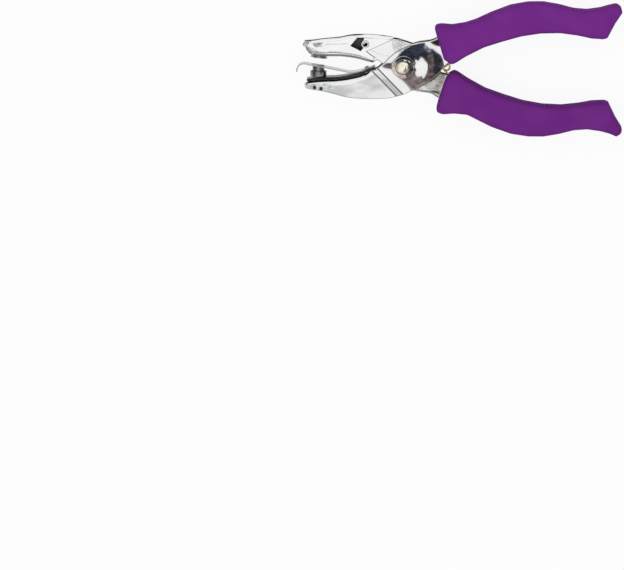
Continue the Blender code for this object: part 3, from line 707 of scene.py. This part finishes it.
def pale_floor():
    shape = bmesh.new()
    bmesh.ops.create_grid(shape, x_segments=1, y_segments=1, size=FLOOR_HALF)
    bmesh.ops.translate(shape, verts=shape.verts, vec=(0, 0, -FLOOR_DROP))
    floor = new_object("pale_floor", shape)
    made, nodes, links = new_material("pale_floor_paper")
    shader = nodes["Principled BSDF"]
    shader.inputs["Roughness"].default_value = PAPER_ROUGHNESS
    shader.inputs["Specular IOR Level"].default_value = PAPER_GLOSS
    colour = cloudy_colour(nodes, links, PAPER_CLOUD_SCALE, 3.0, PAPER_TONES)
    links.new(colour, shader.inputs["Base Color"])
    glow = nodes.new("ShaderNodeEmission")
    glow.inputs["Strength"].default_value = 1.0
    share = nodes.new("ShaderNodeMath")
    share.operation = "MULTIPLY"
    share.inputs[1].default_value = FLOOR_GLOW
    links.new(seen_directly(nodes, links), share.inputs[0])
    mixed = nodes.new("ShaderNodeMixShader")
    links.new(share.outputs[0], mixed.inputs["Fac"])
    links.new(shader.outputs["BSDF"], mixed.inputs[1])
    links.new(glow.outputs["Emission"], mixed.inputs[2])
    links.new(mixed.outputs["Shader"], nodes["Material Output"].inputs["Surface"])
    floor.data.materials.append(made)


def studio_world():
    """A white tent: metal mirrors one that is dark low down, the rest is lit more evenly."""
    world = bpy.data.worlds.new("studio_tent")
    world.use_nodes = True
    nodes, links = world.node_tree.nodes, world.node_tree.links
    place = nodes.new("ShaderNodeTexCoord")
    parts = nodes.new("ShaderNodeSeparateXYZ")
    links.new(place.outputs["Generated"], parts.inputs["Vector"])
    side = nodes.new("ShaderNodeVectorMath")
    side.operation = "DOT_PRODUCT"
    side.inputs[1].default_value = TENT_DARK_SIDE
    links.new(place.outputs["Generated"], side.inputs[0])
    blend = nodes.new("ShaderNodeMix")
    blend.data_type = "RGBA"
    links.new(spread(nodes, links, side.outputs["Value"], 0.0, 1.0, *TENT_BLEND),
              blend.inputs["Factor"])
    links.new(ramp(nodes, links, parts.outputs["Z"], TENT_PALE), blend.inputs["A"])
    links.new(ramp(nodes, links, parts.outputs["Z"], TENT_DARK), blend.inputs["B"])
    shown = nodes["Background"]
    links.new(blend.outputs["Result"], shown.inputs["Color"])
    even = nodes.new("ShaderNodeBackground")
    even.inputs["Strength"].default_value = TENT_EVEN_POWER
    links.new(ramp(nodes, links, parts.outputs["Z"], TENT_EVEN), even.inputs["Color"])
    mixed = nodes.new("ShaderNodeMixShader")
    links.new(seen_directly(nodes, links), mixed.inputs["Fac"])
    links.new(even.outputs["Background"], mixed.inputs[1])
    links.new(shown.outputs["Background"], mixed.inputs[2])
    links.new(mixed.outputs["Shader"], nodes["World Output"].inputs["Surface"])
    bpy.context.scene.world = world


def softbox():
    lamp = bpy.data.lights.new("overhead_softbox", "AREA")
    lamp.shape = "SQUARE"
    lamp.size = SOFTBOX_SIZE
    lamp.energy = SOFTBOX_POWER
    made = bpy.data.objects.new("overhead_softbox", lamp)
    made.location = SOFTBOX_PLACE
    made.rotation_euler = (-Vector(SOFTBOX_PLACE)).to_track_quat("-Z", "Y").to_euler()
    made.visible_camera = False
    made.visible_glossy = False
    bpy.context.scene.collection.objects.link(made)


def photo_camera():
    lens = bpy.data.cameras.new("photo_camera")
    lens.sensor_width = SENSOR_WIDTH
    lens.lens = CAMERA_LENS
    lens.clip_end = CAMERA_REACH
    made = bpy.data.objects.new("photo_camera", lens)
    made.location = CAMERA_PLACE
    made.rotation_euler = Euler([math.radians(turn) for turn in CAMERA_TURN])
    bpy.context.scene.collection.objects.link(made)
    bpy.context.scene.camera = made


# Cards round the tool: painted reflections, highlights and shade, on glowing cards that only its
# metal mirrors towards the camera, with places in millimetres
def placed(points):
    return [Vector(point) / MILLIMETRES for point in points]


def overhead(outline, drop=0.0):
    """The places over the tool that the camera sees mirrored at these points of a cheek."""
    height = CARD_HEIGHT - drop / MILLIMETRES
    lift = (height - CHEEK_HEIGHT) / (CAMERA_PLACE[2] - CHEEK_HEIGHT)
    points = placed(outline)
    return [[Vector((point.x + (point.x - CAMERA_PLACE[0]) * lift,
                     point.y + (point.y - CAMERA_PLACE[1]) * lift, height))
             for point in points]]


def level(outline, height):
    """One flat face at a height."""
    return [placed([(*point, height) for point in outline])]


def wall(line, low, high):
    """Upright faces along a line of places."""
    return [placed(((*first, low), (*second, low), (*second, high), (*first, high)))
            for first, second in zip(line, line[1:])]


def widened(line):
    """The outline of a strip with its near edge on a line of places and widths."""
    return ([(x, y) for x, y, width in line]
            + [(x, y + width) for x, y, width in reversed(line)])


def beside(line, near, far):
    """The outline of a strip between two distances from a line of places."""
    return [(x, y + near) for x, y in line] + [(x, y + far) for x, y in reversed(line)]


def card(name, faces, tones, across=(0.0, 0.0, 0.0), centre=0.5, patch=150.0):
    """A glowing card that only the metal sees, in cloudy tones: a painted reflection.

    The tone goes up along a direction, from its centre at the origin, and a higher patch
    makes the clouds smaller.
    """
    shape = bmesh.new()
    for places in faces:
        shape.faces.new([shape.verts.new(place) for place in places])
    made = new_object(name, shape)
    tone, nodes, links = new_material(name)
    nodes.remove(nodes["Principled BSDF"])
    glow = nodes.new("ShaderNodeEmission")
    place = nodes.new("ShaderNodeTexCoord")
    slope = nodes.new("ShaderNodeVectorMath")
    slope.operation = "DOT_PRODUCT"
    slope.inputs[1].default_value = across
    links.new(place.outputs["Object"], slope.inputs[0])
    total = nodes.new("ShaderNodeMath")
    total.operation = "ADD"
    links.new(slope.outputs["Value"], total.inputs[0])
    links.new(noise(nodes, links, patch, 3.0, CARD_STRETCH), total.inputs[1])
    shifted = nodes.new("ShaderNodeMath")
    shifted.operation = "ADD"
    shifted.inputs[1].default_value = centre - 0.5
    links.new(total.outputs[0], shifted.inputs[0])
    links.new(ramp(nodes, links, shifted.outputs[0], tones), glow.inputs["Color"])
    links.new(glow.outputs["Emission"], nodes["Material Output"].inputs["Surface"])
    made.data.materials.append(tone)
    made.visible_camera = False
    made.visible_diffuse = False
    made.visible_shadow = False
    made.visible_transmission = False


# Places along the upper jaw's top edge, with widths, and along the lower jaw's fold
JAW_TOP_LINE = ((-50.8, 11.3, 0.8), (-49, 11.7, 0.9), (-43, 12.3, 0.9), (-31, 13.9, 0.9),
                (-28, 14.6, 1.1), (-25, 15.0, 1.3), (-22, 15.2, 1.1), (-19, 15.2, 0.6),
                (-16, 15.15, 0.55), (-10, 14.7, 0.8), (-7, 14.35, 0.7), (-4, 13.75, 0.6),
                (-1, 13.05, 0.6), (2, 12.1, 0.7), (5, 11.05, 0.7))
JAW_FOLD_LINE = ((-48.6, -10.3), (-47.9, -10.0), (-45.6, -9.49), (-43.3, -9.23), (-40.8, -9.01),
                 (-38.3, -8.82), (-36.0, -8.71), (-33.7, -8.57), (-31.4, -8.31), (-29.1, -7.98),
                 (-27.0, -7.59), (-24.9, -7.14), (-22.9, -6.65), (-20.8, -6.03), (-18.6, -5.18))

pale_floor()
studio_world()
softbox()

# Over the pivot plate: its painted reflection, dark with a warm patch, a painted highlight and a
# painted sheen
card("plate_card", overhead(((-10.4, 0.8), (-8.5, 2.1), (-5.7, 2.1), (-4.2, 4.2), (-2.2, 6.3),
                             (0.1, 8.4), (2.4, 10.2), (4.4, 11.3), (6.4, 12.2), (10.5, 12.9),
                             (11.1, 11.1), (10.7, 10), (12.6, 9.6), (14.6, 9.4), (16.2, 7.9),
                             (18.5, 6.4), (19.8, 3.6), (20.4, 0.5), (20, -1.4), (16.4, -4.3),
                             (13.9, -6.5), (10.1, -9), (6.3, -11.1), (4.3, -11.9), (2.2, -9.3),
                             (-0.2, -6.6), (-3, -4.8), (-4.8, -3), (-5.7, -1), (-8.9, -0.4),
                             (-10.4, 0.2))),
     ((0.20, (0.34, 0.28, 0.27)), (0.33, (0.17, 0.130, 0.130)), (0.45, (0.125, 0.092, 0.095)),
      (0.52, (0.035, 0.035, 0.045)), (0.64, (0.010, 0.013, 0.024)), (0.80, (0.045, 0.055, 0.09)),
      (0.95, (0.010, 0.012, 0.02))), (3.0, 24.0, 0.0), 0.56, 170.0)
card("plate_bright_card", overhead(((5.8, 4.1), (7.8, 3.6), (8.8, 5.2), (9.9, 4.5), (10.6, 3.7),
                                    (12.1, 2.4), (12.4, -0.1), (11.9, -2.7), (10.9, -5),
                                    (10, -5.8), (9.5, -4.3), (8.5, -4.9), (6.7, -4.6),
                                    (5.9, -3.1), (6.5, -1.5), (5.6, 0.3), (6.3, 2.3)), 1.0),
     ((0.0, grey(1.0)), (1.0, grey(1.0))))
card("plate_warm_card", overhead(((12.1, 5.8), (14.7, 7.4), (15.3, 4.5), (15.3, 1), (15, -4.2),
                                  (12.6, -6), (11.9, -4.2), (12.7, -2.7), (13.1, 0.4),
                                  (12.7, 3)), 0.5),
     ((0.35, (0.22, 0.16, 0.16)), (0.55, (0.11, 0.075, 0.072)), (0.7, (0.03, 0.03, 0.028))),
     patch=400.0)
card("plate_sheen_card", overhead(((9.8, 10.1), (11.8, 10.9), (14.1, 8.6), (13.1, 7.3),
                                   (11.1, 8.3)), 0.5),
     ((0.35, (0.07, 0.08, 0.10)), (0.6, (0.30, 0.33, 0.38))), patch=500.0)

# Over the rivet and round it: painted highlights, cream on its dome and tan beside it on the
# plate
card("rivet_cream_card", level(((-2.3, 2.8), (0.5, 3.4), (3.2, 2.8), (3.4, 1.1), (1.6, 0.4),
                                (0.7, -1.5), (-1.2, -3.1), (-2.3, -1.9), (-2.4, 0.5)), 18.7),
     ((0.30, (0.84, 0.77, 0.60)), (0.50, (1.0, 0.97, 0.86)), (0.8, (1.0, 1.0, 0.95))),
     patch=260.0)
card("rivet_tan_card", level(((-5.0, 2.6), (-5.9, 0.0), (-5.2, -3.0), (-3.1, -5.3), (0.0, -6.1),
                              (1.5, -5.8), (1.1, -4.0), (0.0, -4.0), (-2.0, -3.5), (-3.5, -2.0),
                              (-4.0, 0.0), (-3.5, 2.0)), 18.0),
     ((0.30, (0.40, 0.33, 0.27)), (0.52, (0.70, 0.61, 0.51)), (0.72, (0.94, 0.88, 0.78))),
     patch=420.0)
card("plate_tan_card", overhead(((-5.6, 1.7), (-4.1, 2.9), (-3.4, 2.2), (-3.8, -0.4),
                                 (-3.3, -2.7), (-1.5, -3.8), (1.1, -3.9), (1.6, -4.4),
                                 (-0.2, -5.4), (-2.2, -4.6), (-4, -3.2), (-5.2, -0.9)), 0.6),
     ((0.3, (0.46, 0.38, 0.30)), (0.7, (0.78, 0.70, 0.60))), patch=400.0)

# Over the lower jaw, along its fold and beside its nose: painted reflections, grey on its cheek
# and nose and pale along its fold
card("lower_cheek_card", overhead(((-44.4, -8.1), (-38.7, -9.4), (-32.7, -10.2), (-28.4, -9.7),
                                   (-24.1, -8.6), (-18.7, -6.7), (-13.6, -4), (-0.6, -14.9),
                                   (-7.6, -18.6), (-21.7, -18.9), (-30.4, -17.6), (-38.6, -15.3),
                                   (-43.5, -13.8), (-45.4, -12.2))),
     ((0.10, grey(0.40)), (0.35, grey(0.58)), (0.55, grey(0.70)), (0.80, grey(0.95))),
     (9.0, -14.0, 0.0), 0.60, 110.0)
card("lower_fold_card", level(beside(JAW_FOLD_LINE, -0.3, 3.4), 15.5),
     ((0.3, grey(0.80)), (0.7, grey(1.0))))
card("lower_nose_fence", wall(((-51.6, -15.0), (-51.6, -7.4)), 4.0, 24.0),
     ((0.35, grey(0.42)), (0.65, grey(0.85))), patch=700.0)
card("lower_nose_card", overhead(((-49.1, -8.5), (-44.4, -7.9), (-43, -10), (-44.9, -12.7),
                                  (-48.7, -11.8))),
     ((0.36, grey(0.30)), (0.50, grey(0.55)), (0.64, grey(0.85))), patch=520.0)
card("lower_spot_card", overhead(((-44.4, -8.1), (-38.7, -9.3), (-33.8, -10.4), (-35.1, -12),
                                  (-38.6, -12.6), (-43.5, -12.7)), 0.6),
     ((0.40, (0.42, 0.45, 0.45)), (0.50, (0.66, 0.70, 0.70)), (0.60, grey(0.95))), patch=700.0)

# Over the chip cover: painted reflections, grey on its nose, dark marks and lines along it and
# pale on its rear
card("upper_nose_card", overhead(((-50.7, 11.6), (-49.4, 12.4), (-46.9, 12.2), (-47.5, 10.5),
                                  (-48, 8.5), (-50.8, 8.5))),
     ((0.3, grey(0.22)), (0.7, grey(0.75))), patch=700.0)
card("upper_reflected_marks_card", overhead(((-45.8, 11.9), (-44.2, 12.8), (-40.4, 12), (-40.7, 9.7),
                                   (-44.7, 9.4))),
     ((0.45, grey(1.0)), (0.50, grey(0.06))), patch=1300.0)
card("upper_hair_card", overhead(((-39, 10.8), (-28.2, 11.1), (-28.2, 10.8), (-39, 10.5))),
     ((0.0, grey(0.35)), (1.0, grey(0.55))))
card("upper_lip_card", overhead(((-48.8, 10), (-46.9, 8.2), (-44.7, 7.1), (-41.7, 6.8),
                                 (-39, 6.8), (-36.8, 7.1), (-35.2, 7), (-32.5, 7), (-26.5, 6.2),
                                 (-21.6, 5.2), (-16.7, 3.1), (-16.2, 2.6), (-21.6, 4.7),
                                 (-26.5, 5.7), (-32.5, 6.5), (-36.8, 6.5), (-40.6, 6.1),
                                 (-44.4, 6.3), (-47.2, 7.3), (-49.2, 9.3))),
     ((0.0, grey(0.06)), (1.0, grey(0.30))))
card("upper_rear_card", overhead(((-5.5, 14.7), (6.5, 12.5), (3.3, 10.5), (0.6, 8.8),
                                  (-2.1, 7.1), (-4.8, 7.6), (-5.7, 10.3))),
     ((0.42, grey(0.45)), (0.58, grey(0.95))), patch=900.0)

# Over the plate's rear corner and its edge beside the lower grip
# Painted shade: a near-black card that the plate's rear corner mirrors, for the shade inside the
# channel there
card("corner_shade_card", overhead(((13.5, 12.5), (15.1, 13.8), (16.6, 15.5), (18.6, 15.8),
                                   (18.7, 10.6), (16.6, 10.8), (14.8, 11.5))),
     ((0.0, grey(0.008)), (1.0, grey(0.012))))
card("handle_card", overhead(((4.8, -12), (10.1, -9.2), (13.9, -6.7), (16.4, -4.4), (20, -1.5),
                              (21.2, -4.2), (20.2, -15.3), (17.8, -14.6), (14, -12.8))),
     ((0.30, (0.26, 0.23, 0.21)), (0.50, (0.50, 0.48, 0.44)), (0.72, (0.90, 0.90, 0.88))),
     (-22.0, -16.0, 0.0), 0.62, 420.0)
# Painted shade: a near-black strip that the handle mirrors along the plate's edge, for the
# shadow in the gap under it
card("plate_edge_shadow_card", overhead(((3.8, -12.5), (6.3, -11.6), (10.1, -9.5), (13.9, -7.1),
                                  (16.4, -5), (20, -1.8), (19.9, -1.2), (16.3, -4), (13.7, -6.3),
                                  (10, -8.7), (6.2, -11), (3.6, -12)), 1.2),
     ((0.0, grey(0.01)), (1.0, grey(0.03))))
card("handle_hem_card", overhead(((7.2, -11.1), (10.4, -11.6), (12.9, -11.8), (15.2, -11.5),
                                  (18.2, -12.2), (18.6, -13.6), (15.3, -12.7), (13.5, -13.3),
                                  (10.4, -13.1), (7.2, -11.9)), 1.2),
     ((0.0, grey(0.02)), (1.0, grey(0.06))))

# On the floor beside the upper jaw: painted shadow of the tool on the floor, in darker strips
# that its metal mirrors
card("upper_floor_shadow_strip", level(widened(JAW_TOP_LINE), 0.1),
     ((0.0, grey(0.02)), (1.0, grey(0.10))))
card("nose_floor_shadow_strip", level(((-51.2, 12.0), (-46.8, 12.6), (-46.5, 14.2), (-51.2, 13.8)),
                               0.0),
     ((0.3, grey(0.22)), (0.7, grey(0.75))), patch=700.0)

# Upright beside the upper jaw and the pivot: painted reflections for the jaw's edge, darker low
# down, and a painted highlight for the handle
card("upper_nose_fence", wall(((-60, 8.0), (-54, 12.6), (-50, 14.2), (-47.6, 14.6)), 1, 21),
     ((0.35, grey(0.20)), (0.65, grey(0.62))), patch=600.0)
card("upper_white_fence", wall(((-47.6, 14.6), (-43, 15.2), (-31, 16.8), (-25, 17.8),
                                (-16, 18.0), (-6, 17.2)), 1, 21),
     ((0.30, grey(0.08)), (0.62, grey(1.0))), (0.0, 0.0, 60.0), 0.0, 40.0)
card("handle_white_card", wall(((1.0, 18.6), (12.4, 21.6)), 2.0, 32.0),
     ((0.0, grey(0.8)), (1.0, grey(1.0))))

photo_camera()
bpy.context.scene.view_settings.view_transform = "Standard"
